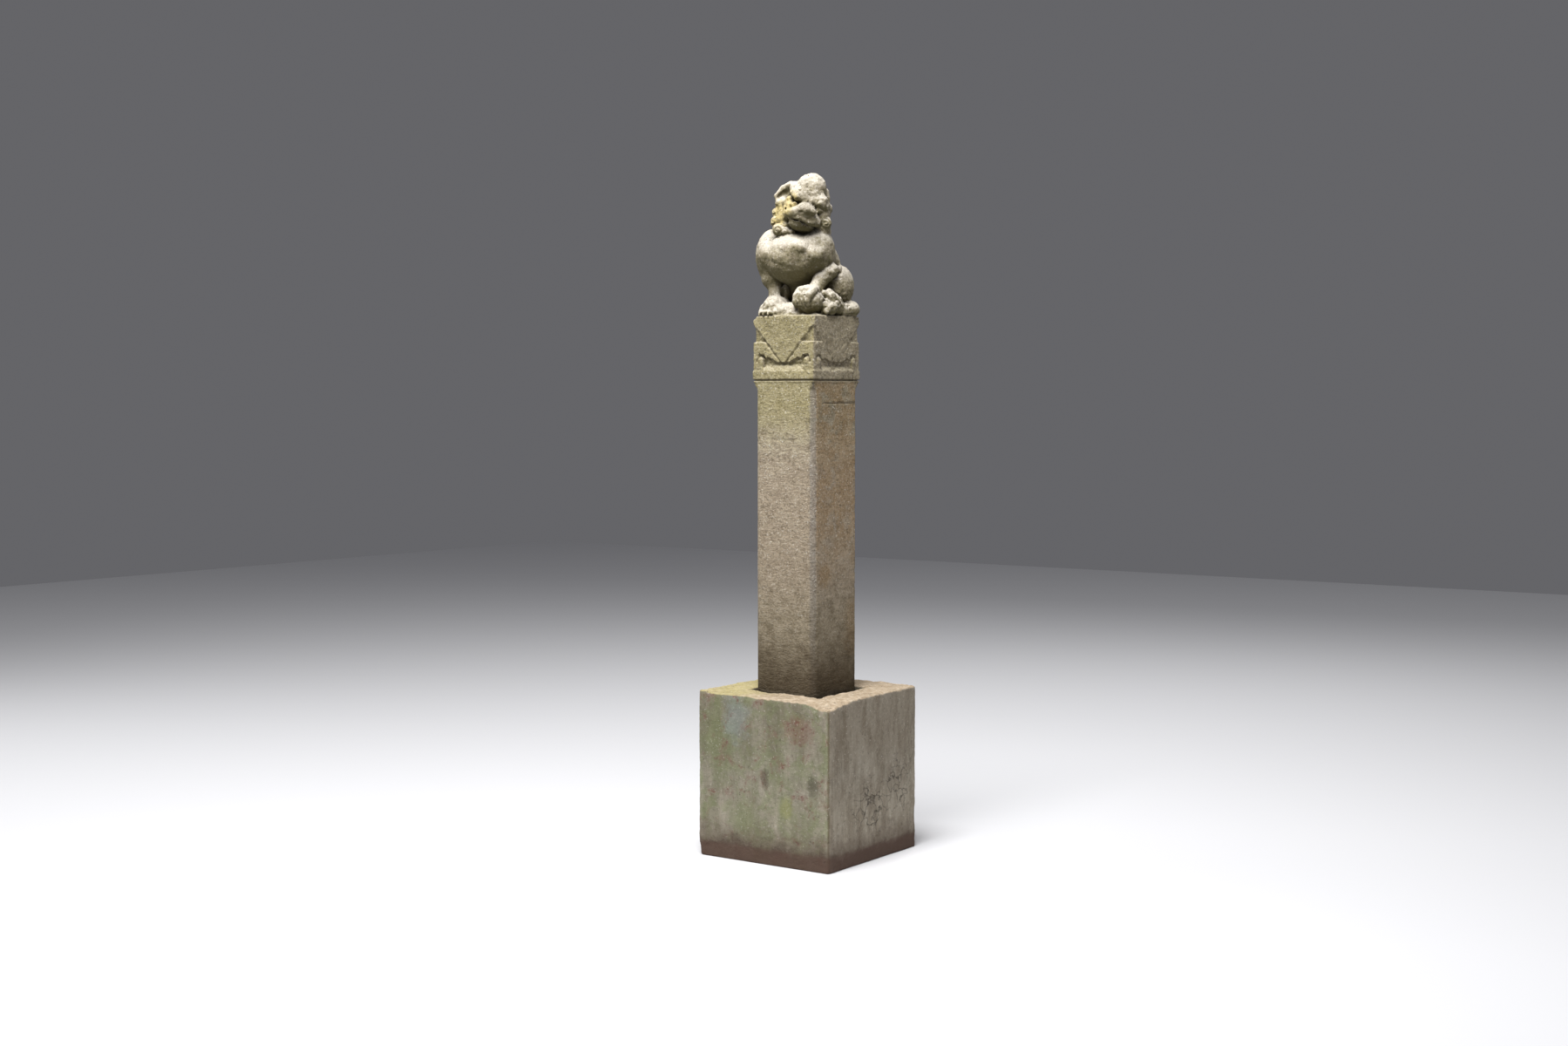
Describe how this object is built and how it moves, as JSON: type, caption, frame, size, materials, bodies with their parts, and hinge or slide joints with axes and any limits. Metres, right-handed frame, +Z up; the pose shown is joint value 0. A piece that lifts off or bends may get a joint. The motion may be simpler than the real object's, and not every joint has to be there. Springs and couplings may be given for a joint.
{
  "type": "stone hitching post with guardian lion",
  "caption": "Seated guardian lion carved in one stone with a square capital and chamfered shaft, standing loose in the socket of a rough stone block.",
  "frame": {"origin": "middle of the block's flat underside, on the ground", "axes": "+Z up along the post, -Y the lion's front, +X the lion's left, block sides along X and Y"},
  "size_m": [0.44, 0.44, 1.8708],
  "materials": {
    "weathered_stone": "weathered carved limestone with lichen, matt",
    "rough_block_stone": "rough dressed and chipped, stained, matt"
  },
  "bodies": {
    "root": {"guardian_post": "weathered_stone", "socket_base": "rough_block_stone"}
  },
  "joints": []
}
